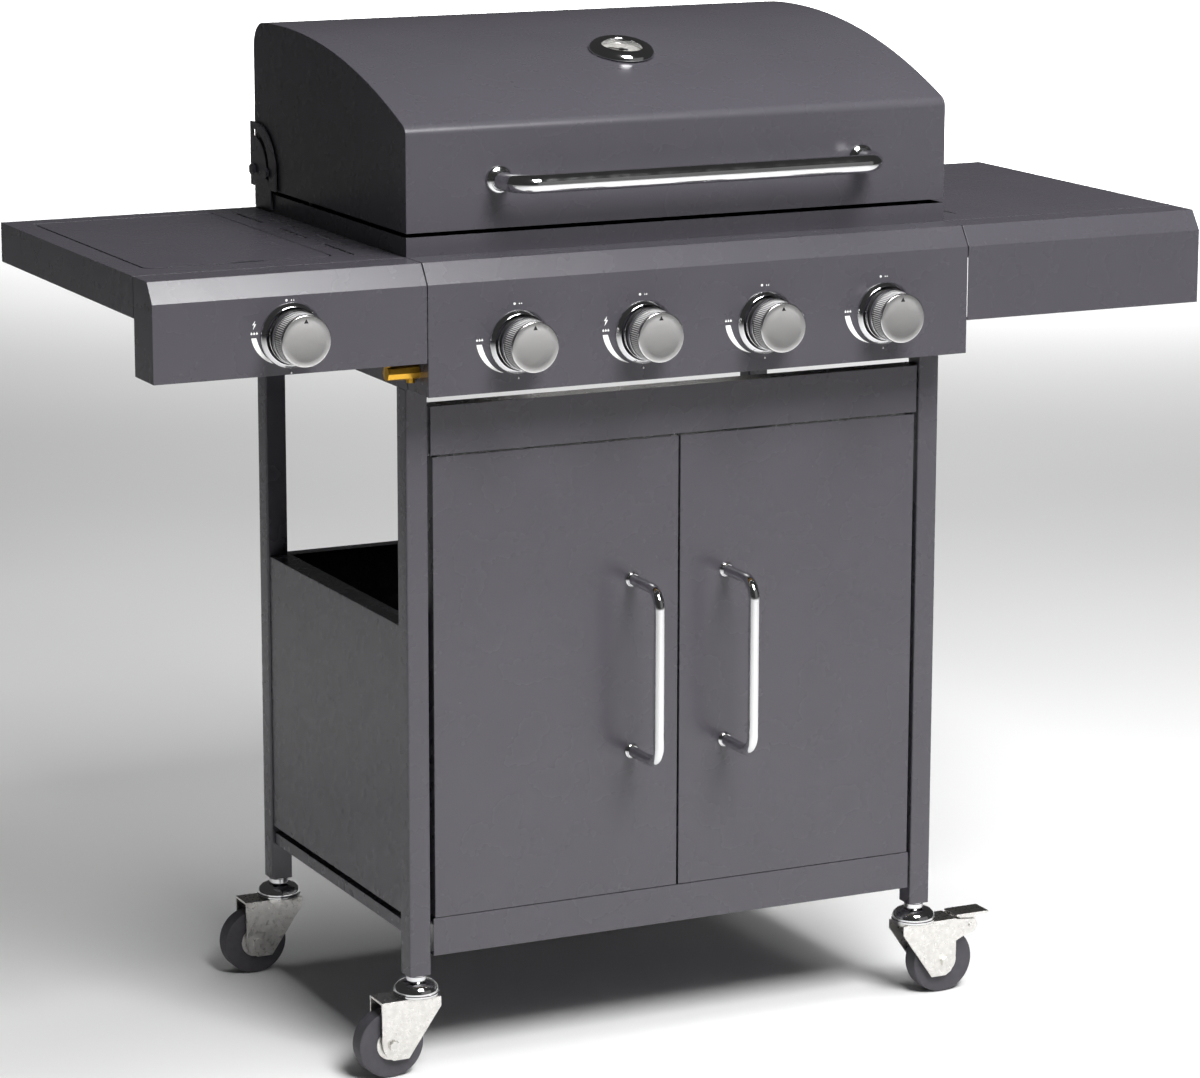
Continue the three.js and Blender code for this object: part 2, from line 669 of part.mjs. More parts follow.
function forkSide(braked) {
  const ear = [[72, -807], [75, -814], [71, -821], [56, -826]];
  const shape = new THREE.Shape();
  shape.moveTo(-22, forkTop - 1);
  shape.lineTo(47, forkTop - 1);
  if (braked) ear.forEach(([x, z]) => shape.lineTo(x, z));
  shape.lineTo(47, braked ? -830 : -829);
  shape.lineTo(47, -846);
  shape.quadraticCurveTo(46, -866, 34, -869.5);
  shape.lineTo(16, -869.5);
  shape.lineTo(-22, -815);
  return shape;
}

function fork(braked) {
  const plates = [[-17, -14.5], [14.5, 17]].map(([y0, y1]) => alongY(forkSide(braked), y0, y1));
  const top = join(rod([0, 0, forkTop - 2.5], [0, 0, forkTop], 24, 16), box(0, 47, -17, 17, forkTop - 2.5, forkTop));
  const axle = [rod([trail, -20, axleZ], [trail, 20, axleZ], 4, 8),
    rod([trail, -21, axleZ], [trail, -16.5, axleZ], 6.5, 6), rod([trail, 16.5, axleZ], [trail, 21, axleZ], 6.5, 6)];
  const { x, z } = pedalPivot;
  const pin = braked ? [rod([x, -18.5, z], [x, 18.5, z], 2.5, 8)] : [];
  return join(cut(top, rod([0, 0, forkTop - 4], [0, 0, forkTop + 1], 5.6, 12)), ...plates, ...axle, ...pin);
}

function brakePedal() {
  const { x, z } = pedalPivot;
  const arm = polygon([[x - 6, z - 5], [x + 4, z - 10], [x + 8, z - 2], [x + 8, z + 12], [x - 14, z + 12]]);
  const arms = [[-14.1, -11.6], [11.6, 14.1]].map(([y0, y1]) => alongY(arm, y0, y1));
  const plate = box(49, 91, -14.1, 14.1, z + 11, z + 13.5);
  const cross = box(x - 2, x + 3, -14.1, 14.1, z - 9, z - 4);
  return cut(join(plate, cross, ...arms), rod([x, -20, z], [x, 20, z], 2.9, 8));
}

function casterWheel() {
  const sides = 24;
  const tread = wheelRadius / Math.cos(Math.PI / sides);
  const profile = [
    [4.4, -12], [tread - 2, -wheelHalf], [tread, -wheelHalf + 2], [tread, wheelHalf - 2],
    [tread - 2, wheelHalf], [4.4, 12], [4.4, -12],
  ];
  return turned(profile, sides).rotateZ(Math.PI / sides).rotateX(Math.PI / 2);
}

function addCasters() {
  const corners = [['front_left', -1, legFrontY], ['front_right', 1, legFrontY],
    ['back_left', -1, legBackY], ['back_right', 1, legBackY]];
  for (const [name, side, y] of corners) {
    add(`caster_stem_${name}`, casterStem(), zinc).position.set(side * legX, y, 0);
    const caster = new THREE.Group();
    caster.position.set(side * legX, y, 0);
    caster.rotation.z = side < 0 ? Math.PI : 0;
    rig.add(caster);
    const braked = side > 0;
    add(`caster_fork_${name}`, fork(braked), zinc, caster);
    add(`caster_wheel_${name}`, casterWheel(), rubber, caster).position.set(trail, 0, axleZ);
    if (braked) add(`brake_pedal_${name}`, brakePedal(), zinc, caster);
  }
}

addLegs();
addCartPanels();
addBottomShelf();
addHeaderRail();
addDoors();
addFirebox();
addBurners();
addCookingGrates();
addWarmingRack();
addGreaseTray();
addGasManifold();
addControlPanels();
addKnobs();
addSideTables();
addSideBurner();
addSideBurnerLid();
addHood();
addHoodHandle();
addThermometer();
addHingeBrackets();
addCasters();

const grill = new THREE.Group();
grill.add(rig);

export default grill;
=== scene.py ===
# Gas barbecue grill with a side burner, on a two-door cart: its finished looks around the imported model.
# Sizes in the dictionaries are millimetres; the scene itself is in metres.
import json
import math

import bmesh
import bpy
from mathutils import Matrix, Vector


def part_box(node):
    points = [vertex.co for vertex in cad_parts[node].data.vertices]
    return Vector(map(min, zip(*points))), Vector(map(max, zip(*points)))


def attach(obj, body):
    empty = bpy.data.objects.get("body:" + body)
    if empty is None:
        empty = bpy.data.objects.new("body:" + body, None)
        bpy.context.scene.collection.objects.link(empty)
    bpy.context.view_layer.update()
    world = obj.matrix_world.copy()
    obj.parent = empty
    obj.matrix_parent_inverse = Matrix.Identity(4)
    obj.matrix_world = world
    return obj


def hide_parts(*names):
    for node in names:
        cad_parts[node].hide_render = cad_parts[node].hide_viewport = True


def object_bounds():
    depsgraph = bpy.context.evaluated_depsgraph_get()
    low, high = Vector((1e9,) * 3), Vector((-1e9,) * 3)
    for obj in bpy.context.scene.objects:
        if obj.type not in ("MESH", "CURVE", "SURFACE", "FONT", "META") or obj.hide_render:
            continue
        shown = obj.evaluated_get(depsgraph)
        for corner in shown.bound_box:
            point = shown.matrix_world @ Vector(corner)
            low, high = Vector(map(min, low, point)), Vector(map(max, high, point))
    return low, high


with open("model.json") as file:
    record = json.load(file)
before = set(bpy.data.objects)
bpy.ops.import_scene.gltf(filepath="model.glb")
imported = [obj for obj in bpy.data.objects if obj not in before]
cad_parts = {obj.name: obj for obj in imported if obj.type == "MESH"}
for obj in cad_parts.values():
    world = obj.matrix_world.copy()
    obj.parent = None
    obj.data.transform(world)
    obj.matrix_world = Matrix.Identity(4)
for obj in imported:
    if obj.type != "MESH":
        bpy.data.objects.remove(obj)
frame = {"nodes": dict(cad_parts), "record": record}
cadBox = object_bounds()
bodyOf = {node: body for body, members in frame["record"]["behaviour"]["bodies"].items() for node in members}
slotOf = {part["node"]: part["material_slot"] for part in frame["record"]["subparts"]}
mm = 0.001
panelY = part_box("control_panel")[0].y  # the control panel's face
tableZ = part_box("side_table_right")[1].z  # the table top
floorZ = cadBox[0][2]


def rig(x, y, z):
    return Vector((x * mm, panelY + y * mm, tableZ + z * mm))


cameraView = {"place": (-2044.5, -3971.1, 656.9), "turn": (77.696, -0.1045, -25.7885), "lens": 128.16}


def makeCamera():
    data = bpy.data.cameras.new("camera")
    data.sensor_width = 36
    data.lens = cameraView["lens"]
    data.clip_end = 100
    camera = bpy.data.objects.new("camera", data)
    camera.location = rig(*cameraView["place"])
    camera.rotation_euler = [math.radians(angle) for angle in cameraView["turn"]]
    bpy.context.scene.collection.objects.link(camera)
    bpy.context.scene.camera = camera


makeCamera()
print("camera placed")


def hexColour(code):
    channels = [int(code[i:i + 2], 16) / 255 for i in (0, 2, 4)]
    linear = [c / 12.92 if c <= 0.04045 else ((c + 0.055) / 1.055) ** 2.4 for c in channels]
    return (*linear, 1)


def addNode(tree, kind, settings=None, links=None):
    node = tree.nodes.new(kind)
    for name, value in (settings or {}).items():
        if name in node.inputs:
            node.inputs[name].default_value = value
        else:
            setattr(node, name, value)
    for name, source in (links or {}).items():
        tree.links.new(source, node.inputs[name])
    return node


def startMaterial(name, colour, roughness, metallic, more=None):
    material = bpy.data.materials.new(name)
    material.use_nodes = True
    shader = material.node_tree.nodes["Principled BSDF"]
    shader.inputs["Base Color"].default_value = hexColour(colour)
    shader.inputs["Roughness"].default_value = roughness
    shader.inputs["Metallic"].default_value = metallic
    for socket, value in (more or {}).items():
        shader.inputs[socket].default_value = value
    return material, material.node_tree, shader


def objectNoise(tree, size, detail=2, stretch=(1, 1, 1)):
    place = addNode(tree, "ShaderNodeTexCoord")
    spread = addNode(tree, "ShaderNodeMapping", {"Scale": stretch}, {"Vector": place.outputs["Object"]})
    return addNode(tree, "ShaderNodeTexNoise", {"Scale": 1 / (size * mm), "Detail": detail},
                   {"Vector": spread.outputs["Vector"]})


def spreadColour(tree, shader, noise, low, high, socket="Base Color"):
    ramp = addNode(tree, "ShaderNodeValToRGB", links={"Fac": noise.outputs["Fac"]})
    ramp.color_ramp.elements[0].position = 0.3
    ramp.color_ramp.elements[1].position = 0.7
    ramp.color_ramp.elements[0].color = low
    ramp.color_ramp.elements[1].color = high
    tree.links.new(ramp.outputs["Color"], shader.inputs[socket])


def varyRoughness(tree, shader, noise, low, high):
    limits = {"From Min": 0.3, "From Max": 0.7, "To Min": low, "To Max": high}
    span = addNode(tree, "ShaderNodeMapRange", limits, {"Value": noise.outputs["Fac"]})
    tree.links.new(span.outputs["Result"], shader.inputs["Roughness"])


def addBump(tree, shader, noise, strength, depth):
    bump = addNode(tree, "ShaderNodeBump", {"Strength": strength, "Distance": depth * mm},
                   {"Height": noise.outputs["Fac"]})
    tree.links.new(bump.outputs["Normal"], shader.inputs["Normal"])


powderCoat = {"dark": "47454b", "light": "49474d", "roughness": (0.26, 0.285), "peelSize": 1.6,
              "peelDepth": 0.012}


def makePowderCoat(name, coat):
    # Baked polyester powder on steel: an even satin charcoal with a fine orange peel.
    # The real peel is about 0.8 mm across; it is drawn at twice that so that it shows.
    material, tree, shader = startMaterial(name, coat["dark"], coat["roughness"][0], 0.0,
                                           {"Specular IOR Level": 0.5})
    cloud = objectNoise(tree, 120, 1)
    spreadColour(tree, shader, cloud, hexColour(coat["dark"]), hexColour(coat["light"]))
    varyRoughness(tree, shader, objectNoise(tree, 40, 3), *coat["roughness"])
    addBump(tree, shader, objectNoise(tree, coat["peelSize"], 2), 0.25, coat["peelDepth"])
    return material


def makeChromePlate():
    # Bright chromium over polished steel tube: mirror-like, with faint hand smudges.
    material, tree, shader = startMaterial("polishedChromePlate", "d8d8d9", 0.08, 1.0)
    varyRoughness(tree, shader, objectNoise(tree, 18, 3), 0.06, 0.14)
    return material


def makeSatinChrome():
    # Electroplated plastic with a fine satin: soft wide highlights.
    material, tree, shader = startMaterial("satinChromeCap", "d2d1d0", 0.22, 1.0)
    varyRoughness(tree, shader, objectNoise(tree, 0.9, 3), 0.18, 0.26)
    return material


def makeZincPlate():
    # Bright zinc on pressed steel: pale, slightly yellow, cloudy from the bath.
    material, tree, shader = startMaterial("brightZincPlate", "dcdad6", 0.3, 1.0)
    cloud = objectNoise(tree, 7, 3)
    spreadColour(tree, shader, cloud, hexColour("d2d0cc"), hexColour("e2e0dc"))
    varyRoughness(tree, shader, objectNoise(tree, 4, 3), 0.24, 0.36)
    return material


def makeCastIron():
    # Sand-cast iron under matt enamel: black with a coarse grain of about 1 mm.
    material, tree, shader = startMaterial("enamelledCastIron", "1d1c1b", 0.6, 0.0)
    spreadColour(tree, shader, objectNoise(tree, 14, 3), hexColour("1a1918"), hexColour("252322"))
    addBump(tree, shader, objectNoise(tree, 1.1, 4), 0.5, 0.12)
    return material


def makeHeatCoat():
    # Heat-proof silicone paint inside and around the firebox: nearly black, matt.
    material, tree, shader = startMaterial("heatProofCoat", "2b2928", 0.5, 0.0)
    spreadColour(tree, shader, objectNoise(tree, 60, 3), hexColour("272524"), hexColour("312f2e"))
    addBump(tree, shader, objectNoise(tree, 1.4, 2), 0.3, 0.02)
    return material


def makeBrass():
    # Turned brass: warm yellow with fine tool lines.
    material, tree, shader = startMaterial("turnedBrass", "d2a23c", 0.28, 1.0)
    addBump(tree, shader, objectNoise(tree, 0.5, 1, (1, 0.1, 0.1)), 0.3, 0.02)
    return material


def makeStainless():
    # Brushed stainless steel: grain of about 0.3 mm along the bar.
    material, tree, shader = startMaterial("brushedStainless", "b8b6b1", 0.32, 1.0)
    grain = objectNoise(tree, 0.6, 3, (1, 0.04, 1))
    varyRoughness(tree, shader, grain, 0.26, 0.42)
    addBump(tree, shader, grain, 0.2, 0.01)
    return material


def makeWheelTread():
    # Moulded grey-black rubber: soft, matt, with fine moulding texture.
    material, tree, shader = startMaterial("mouldedRubberTread", "47454a", 0.6, 0.0,
                                           {"Specular IOR Level": 0.4})
    spreadColour(tree, shader, objectNoise(tree, 9, 3), hexColour("444247"), hexColour("4b494e"))
    addBump(tree, shader, objectNoise(tree, 0.8, 2), 0.3, 0.02)
    return material


def makeBlackGrip():
    # Moulded black nylon: matt between the ridges.
    material, tree, shader = startMaterial("mouldedBlackNylon", "1c1b1b", 0.42, 0.0)
    addBump(tree, shader, objectNoise(tree, 0.7, 2), 0.3, 0.015)
    return material


def makePrint(name, colour):
    # Pad-printed ink: flat and slightly rougher than what it lies on.
    material, tree, shader = startMaterial(name, colour, 0.5, 0.0)
    varyRoughness(tree, shader, objectNoise(tree, 1.5, 2), 0.45, 0.6)
    return material


def makeGlass():
    # Pressed soda-lime glass over the dial.
    material, tree, shader = startMaterial("clearGlass", "ffffff", 0.02, 0.0,
                                           {"IOR": 1.5, "Transmission Weight": 1.0})
    varyRoughness(tree, shader, objectNoise(tree, 12, 2), 0.0, 0.04)
    return material


def makePaintedRecessShade():
    # Painted shade: a near-black colour that stands in for the unlit recess behind a seam or under a bezel.
    material, tree, shader = startMaterial("paintedRecessShade", "0c0b0b", 0.8, 0.0)
    addBump(tree, shader, objectNoise(tree, 1, 2), 0.2, 0.02)
    return material


paint = makePowderCoat("charcoalPowderCoat", powderCoat)
chrome = makeChromePlate()
satinChrome = makeSatinChrome()
zinc = makeZincPlate()
castIron = makeCastIron()
heatCoat = makeHeatCoat()
brass = makeBrass()
stainless = makeStainless()
tread = makeWheelTread()
blackGrip = makeBlackGrip()
whiteInk = makePrint("whitePadPrint", "f2f2f0")
blackInk = makePrint("blackPadPrint", "121212")
dialCard = makePrint("dialCard", "d9d7d2")
glass = makeGlass()
recessShade = makePaintedRecessShade()
materialOf = {
    "painted_steel": paint, "firebox_enamel": heatCoat, "chrome": chrome, "knob_chrome": satinChrome,
    "zinc": zinc, "stainless": stainless, "cast_iron": castIron, "brass": brass, "wheel_rubber": tread,
}
print("materials made")


def link(name, mesh):
    piece = bpy.data.objects.new(name, mesh)
    bpy.context.scene.collection.objects.link(piece)
    return piece


def fromPoints(name, points, faces):
    mesh = bpy.data.meshes.new(name)
    mesh.from_pydata([tuple(p) for p in points], [], faces)
    return link(name, mesh)


def cleanUp(piece, mergeAt=0.00001):
    work = bmesh.new()
    work.from_mesh(piece.data)
    bmesh.ops.remove_doubles(work, verts=work.verts, dist=mergeAt)
    bmesh.ops.recalc_face_normals(work, faces=work.faces)
    work.to_mesh(piece.data)
    work.free()
    return piece


def applyModifiers(piece):
    ready = piece.evaluated_get(bpy.context.evaluated_depsgraph_get())
    mesh = bpy.data.meshes.new_from_object(ready)
    piece.modifiers.clear()
    piece.data = mesh
    return piece


def shade(piece, angle=35):
    piece.data.shade_smooth()
    piece.data.set_sharp_from_angle(angle=math.radians(angle))
    normals = piece.modifiers.new("normals", "WEIGHTED_NORMAL")
    normals.keep_sharp = True
    return applyModifiers(piece)


def soften(piece, width, segments=2, angle=35):
    if width:
        bevel = piece.modifiers.new("bevel", "BEVEL")
        bevel.width = width * mm
        bevel.segments = segments
        bevel.limit_method = "ANGLE"
        bevel.angle_limit = math.radians(30)
        bevel.use_clamp_overlap = True
        applyModifiers(piece)
    return shade(piece, angle)


def lathe(name, profile, sides=64, closed=False):
    points, rings = [], []
    for radius, height in profile:
        count = sides if radius else 1
        rings.append([len(points) + k for k in range(count)])
        for k in range(count):
            turn = 2 * math.pi * k / sides
            points.append((radius * math.cos(turn) * mm, radius * math.sin(turn) * mm, height * mm))
    faces = []
    for low, high in zip(rings, rings[1:] + rings[:1] if closed else rings[1:]):
        for k in range(sides):
            corners = [low[k % len(low)], low[(k + 1) % len(low)],
                       high[(k + 1) % len(high)], high[k % len(high)]]
            faces.append(list(dict.fromkeys(corners)))
    return cleanUp(fromPoints(name, points, [f for f in faces if len(f) > 2]))


def prism(name, outline, low, high):
    count = len(outline)
    points = [(u * mm, v * mm, w * mm) for w in (low, high) for u, v in outline]
    faces = [list(range(count)), list(range(count, 2 * count))]
    faces += [[k, (k + 1) % count, count + (k + 1) % count, count + k] for k in range(count)]
    return cleanUp(fromPoints(name, points, faces))


def moved(piece, matrix):
    piece.data.transform(matrix)
    if matrix.determinant() < 0:
        piece.data.flip_normals()
    return piece


def ink(piece, material):
    piece.data.materials.clear()
    piece.data.materials.append(material)
    return piece


def tube(name, path, radius, sides=24):
    curve = bpy.data.curves.new(name, "CURVE")
    curve.dimensions = "3D"
    curve.bevel_depth = radius * mm
    curve.bevel_resolution = sides // 4
    curve.use_fill_caps = True
    line = curve.splines.new("POLY")
    line.points.add(len(path) - 1)
    for point, place in zip(line.points, path):
        point.co = (*place, 1)
    holder = link(name, curve)
    mesh = bpy.data.meshes.new_from_object(holder.evaluated_get(bpy.context.evaluated_depsgraph_get()))
    bpy.data.objects.remove(holder)
    return shade(cleanUp(link(name, mesh)), 50)


def joined(name, pieces):
    work = bmesh.new()
    slots = []
    for piece in pieces:
        start = len(work.faces)
        work.from_mesh(piece.data)
        work.faces.ensure_lookup_table()
        material = piece.data.materials[0] if piece.data.materials else None
        if material not in slots:
            slots.append(material)
        for face in work.faces[start:]:
            face.material_index = slots.index(material)
        bpy.data.objects.remove(piece)
    mesh = bpy.data.meshes.new(name)
    work.to_mesh(mesh)
    work.free()
    for material in slots:
        mesh.materials.append(material)
    return link(name, mesh)


def cadCopy(name, node):
    piece = link(name, frame["nodes"][node].data.copy())
    work = bmesh.new()
    work.from_mesh(piece.data)
    bmesh.ops.remove_doubles(work, verts=work.verts, dist=0.00001)
    bmesh.ops.dissolve_limit(work, angle_limit=math.radians(1), verts=work.verts, edges=work.edges)
    work.to_mesh(piece.data)
    work.free()
    return piece


def settle(piece, node, material=None, body=None, stands=True):
    piece.data.materials.clear()
    piece.data.materials.append(material or materialOf[slotOf[node]])
    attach(piece, body or bodyOf[node])
    if stands:
        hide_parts(node)
    return piece


def nodeTree(name, inputs):
    tree = bpy.data.node_groups.new(name, "GeometryNodeTree")
    for label, kind in inputs.items():
        tree.interface.new_socket(label, in_out="INPUT", socket_type=kind)
    tree.interface.new_socket("Geometry", in_out="OUTPUT", socket_type="NodeSocketGeometry")
    return tree, addNode(tree, "NodeGroupInput")


def endTree(tree, start, geometry):
    real = addNode(tree, "GeometryNodeRealizeInstances", links={"Geometry": geometry})
    painted = addNode(tree, "GeometryNodeSetMaterial", links={
        "Geometry": real.outputs["Geometry"], "Material": start.outputs["Material"]})
    addNode(tree, "NodeGroupOutput", links={"Geometry": painted.outputs["Geometry"]})
    return tree


def ringOfBlocks():
    # Blocks evenly round a circle, each with its X side facing out.
    tree, start = nodeTree("ringOfBlocks", {
        "Count": "NodeSocketInt", "Radius": "NodeSocketFloat", "Size": "NodeSocketVector",
        "Material": "NodeSocketMaterial"})
    circle = addNode(tree, "GeometryNodeMeshCircle", links={
        "Vertices": start.outputs["Count"], "Radius": start.outputs["Radius"]})
    block = addNode(tree, "GeometryNodeMeshCube", links={"Size": start.outputs["Size"]})
    outwards = addNode(tree, "GeometryNodeInputPosition")
    facing = addNode(tree, "FunctionNodeAlignRotationToVector", {"axis": "X"},
                     {"Vector": outwards.outputs["Position"]})
    spread = addNode(tree, "GeometryNodeInstanceOnPoints", links={
        "Points": circle.outputs["Mesh"], "Instance": block.outputs["Mesh"],
        "Rotation": facing.outputs["Rotation"]})
    return endTree(tree, start, spread.outputs["Instances"])


def grow(name, tree, values):
    holder = link(name, bpy.data.meshes.new(name))
    modifier = holder.modifiers.new("grow", "NODES")
    modifier.node_group = tree
    for item in tree.interface.items_tree:
        if item.in_out == "INPUT":
            modifier[item.identifier] = values[item.name]
    return applyModifiers(holder)


blockRing = ringOfBlocks()
towardsFront = Matrix.Rotation(math.pi / 2, 4, "X")  # local +Z turns to -Y


sheetEdges = {
    "leg_front_left": 0, "leg_back_left": 0, "leg_back_right": 0, "leg_front_right": 0,
    "side_panel_left": 0.5, "side_panel_right": 0.5, "back_panel": 0.5, "bottom_shelf": 0.5,
    "door_header_rail": 0.6, "door_left": 1.1, "door_right": 1.1, "firebox": 0.7, "control_panel": 0.6,
    "side_control_panel": 0.6, "side_fascia_right": 0.6, "side_table_left": 0.6, "side_table_right": 0.6,
    "side_burner_lid": 0.9, "hood_hinge_bracket_left": 0.4, "hood_hinge_bracket_right": 0.4,
    "grease_tray": 0.4, "gas_manifold": 0.4, "side_burner": 0.8, "pan_support": 1.2,
    "cooking_grate_left": 1.4, "cooking_grate_right": 1.4, "warming_rack": 1.0,
    "brake_pedal_front_right": 0.5, "brake_pedal_back_right": 0.5,
}


def finishSheetParts():
    for node, edge in sheetEdges.items():
        rounds = 3 if edge > 0.9 else 2
        piece = soften(cadCopy(node + "_finished", node), edge, rounds, 35 if edge else 50)
        settle(piece, node)
    for k in range(4):
        settle(soften(cadCopy(f"burner_{k + 1}_finished", f"burner_{k + 1}"), 1.5, 3), f"burner_{k + 1}")


fireboxInside = {"half": 318, "front": 57, "back": 479}


def blackenFirebox():
    piece = bpy.data.objects["firebox_finished"]
    piece.data.materials.clear()
    piece.data.materials.append(paint)
    piece.data.materials.append(heatCoat)
    low = rig(-fireboxInside["half"], fireboxInside["front"], 0)
    high = rig(fireboxInside["half"], fireboxInside["back"], 0)
    for face in piece.data.polygons:
        centre = face.center
        inside = low.x < centre.x < high.x and low.y < centre.y < high.y
        face.material_index = int(inside and (face.normal.z > -0.2 or centre.z > low.z - 0.1))


finishSheetParts()
blackenFirebox()
print("sheet parts finished")


hood = {
    "half": 320.4, "front": 54.7, "back": 481.5, "bottom": 24.5, "roofY": 406, "roofZ": -641.4,
    "roofRadius": 850.4, "bend": 12, "corner": 28, "wall": 1.4, "edge": 0.9,
    "stop": (435.7, 42.7), "steps": (10, 60, 14),
}


def arcPoints(centre, radius, start, end, steps):
    turns = [start + (end - start) * k / steps for k in range(steps + 1)]
    return [(centre[0] + radius * math.cos(t), centre[1] + radius * math.sin(t)) for t in turns]


def hoodOutline():
    roof = (hood["roofY"], hood["roofZ"])
    bendY, cornerY = hood["front"] + hood["bend"], hood["back"] - hood["corner"]
    bendZ = roof[1] + math.sqrt((hood["roofRadius"] - hood["bend"]) ** 2 - (bendY - roof[0]) ** 2)
    cornerZ = roof[1] + math.sqrt((hood["roofRadius"] - hood["corner"]) ** 2 - (cornerY - roof[0]) ** 2)
    bendTurn = math.atan2(bendZ - roof[1], bendY - roof[0])
    cornerTurn = math.atan2(cornerZ - roof[1], cornerY - roof[0])
    outline = [(hood["front"], hood["bottom"])]
    outline += arcPoints((bendY, bendZ), hood["bend"], math.pi, bendTurn, hood["steps"][0])
    outline += arcPoints(roof, hood["roofRadius"], bendTurn, cornerTurn, hood["steps"][1])[1:]
    outline += arcPoints((cornerY, cornerZ), hood["corner"], cornerTurn, 0, hood["steps"][2])[1:]
    outline.append((hood["back"], hood["bottom"]))
    return outline


def makeHood():
    outline = hoodOutline()
    count = len(outline)
    points = [rig(side * hood["half"], y, z) for side in (-1, 1) for y, z in outline]
    faces = [[k, k + 1, count + k + 1, count + k] for k in range(count - 1)]
    faces += [list(range(count)), list(range(count, 2 * count))]
    shell = cleanUp(fromPoints("hood_shell_finished", points, faces))
    bevel = shell.modifiers.new("rolled edge", "BEVEL")
    bevel.width = hood["edge"] * mm
    bevel.segments = 3
    bevel.limit_method = "ANGLE"
    bevel.angle_limit = math.radians(50)
    wall = shell.modifiers.new("sheet", "SOLIDIFY")
    wall.thickness = hood["wall"] * mm
    wall.offset = -1
    applyModifiers(shell)
    settle(shade(shell, 40), "hood_shell")
    for side, word in ((-1, "left"), (1, "right")):
        bolt = [
            ink(lathe("shaft", [(0, -1), (2.7, -1), (2.7, 4), (0, 4)], 20), paint),
            ink(soften(lathe("head", [(0, 3.6), (6, 3.6), (6, 6.2), (5.2, 6.8), (0, 6.8)], 6), 0.3), paint),
        ]
        outwards = Matrix.Rotation(side * math.pi / 2, 4, "Y")
        whole = moved(joined(f"hood_stop_bolt_{word}", bolt),
                      Matrix.Translation(rig(side * hood["half"], *hood["stop"])) @ outwards)
        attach(whole, bodyOf["hood_shell"])


makeHood()
print("hood made")


hoodHandle = {"half": 215, "z": 75, "face": 54.4, "reach": 48, "bend": 24, "radius": 10, "rose": 15}
doorHandle = {"x": 57, "top": -367.5, "bottom": -559, "face": 58.9, "reach": 66.7, "bend": 20, "radius": 6,
              "rose": 8.5}


def handlePath(start, end, out, reach, bend):
    along = (end - start).normalized()
    turns = [math.pi / 2 * k / 10 for k in range(11)]
    near = [start + out * (reach - bend + bend * math.sin(t)) * mm + along * bend * (1 - math.cos(t)) * mm
            for t in turns]
    far = [end + out * (reach - bend + bend * math.sin(t)) * mm - along * bend * (1 - math.cos(t)) * mm
           for t in reversed(turns)]
    return [start, *near, *far, end]


def makeHandle(name, node, start, end, size):
    out = Vector((0, -1, 0))
    path = handlePath(start, end, out, size["reach"], size["bend"])
    parts = [tube(name + "_bar", path, size["radius"], 32)]
    rose, r = size["rose"], size["radius"]
    for place in (start, end):
        collar = lathe(name + "_rose", [(0, 0), (rose, 0), (rose, 1.2), (rose - 0.8, 2.6), (rose - 2.2, 3.4),
                                        (r + 1.2, 3.8), (r + 0.6, 4.6), (0, 4.6)], 48)
        parts.append(shade(moved(collar, Matrix.Translation(place) @ towardsFront), 40))
    handle = joined(name, parts)
    settle(handle, node, chrome)


hoodEnds = [rig(side * hoodHandle["half"], hoodHandle["face"], hoodHandle["z"]) for side in (-1, 1)]
makeHandle("hood_handle_finished", "hood_handle", *hoodEnds, hoodHandle)
for side, word in ((-1, "left"), (1, "right")):
    x = side * doorHandle["x"]
    doorEnds = [rig(x, doorHandle["face"], doorHandle[end]) for end in ("top", "bottom")]
    makeHandle(f"door_handle_{word}_finished", f"door_handle_{word}", *doorEnds, doorHandle)
print("handles made")


knob = {
    "bezel": [(34, 0), (34, 1.2), (33.2, 2.2), (30.6, 5.2), (29.8, 5.6), (29.3, 5.2), (29.3, 0)],
    "sleeve": [(0, 4.6), (26.6, 4.6), (26.6, 21.5), (0, 21.5)],
    "rings": [(6.8, 28.3, 4.6), (16.4, 27.9, 4.6)],
    "grip": [(0, 21), (26, 21), (26, 37), (0, 37)],
    "cap": [(26, 36.4), (26.8, 37), (26.9, 38.4), (26.4, 39.5), (25.4, 40), (20, 39.7), (12, 39.5), (0, 39.4),
            (0, 36.4)],
    "ridges": 72, "ridge": (1.0, 0.9, 15),
    "mark": {"low": 18.2, "high": 22.6, "half": 2.3},
}


def ringBand(name, radius, height, thick):
    low, high = height, height + thick
    profile = [(0, low), (radius - 0.3, low), (radius, low + 0.3), (radius, high - 0.3),
               (radius - 0.3, high), (0, high)]
    return lathe(name, profile, 64)


def makeKnob(node, body):
    low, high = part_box(node)
    centre = Vector(((low.x + high.x) / 2, panelY, (low.z + high.z) / 2))
    seat = Matrix.Translation(centre) @ towardsFront
    parts = [
        ink(shade(lathe("grip", knob["grip"], 64), 40), blackGrip),
        # The sleeve's near-black colour is painted shade for the grooves between and below the chrome rings.
        ink(shade(lathe("sleeve", knob["sleeve"], 64), 40), recessShade),
        ink(shade(lathe("cap", knob["cap"], 96), 40), satinChrome),
    ]
    for ringLow, radius, deep in knob["rings"]:
        parts.append(ink(shade(ringBand("ring", radius, ringLow, deep), 40), chrome))
    ridges = grow("ridges", blockRing, {
        "Count": knob["ridges"], "Radius": 26.0 * mm, "Size": [s * mm for s in knob["ridge"]],
        "Material": blackGrip})
    moved(ridges, Matrix.Translation((0, 0, 29 * mm)))
    mark = knob["mark"]
    corners = [(-mark["half"], mark["low"]), (mark["half"], mark["low"]), (0, mark["high"])]
    arrow = prism("arrow", corners, 39.5, 40.1)
    parts += [ridges, ink(arrow, blackInk)]
    whole = moved(joined(node + "_finished", parts), seat)
    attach(whole, body)
    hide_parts(node)
    bezel = shade(lathe(node + "_bezel", knob["bezel"], 96, closed=True), 40)
    moved(bezel, seat)
    settle(bezel, "control_panel", chrome, stands=False)
    return centre


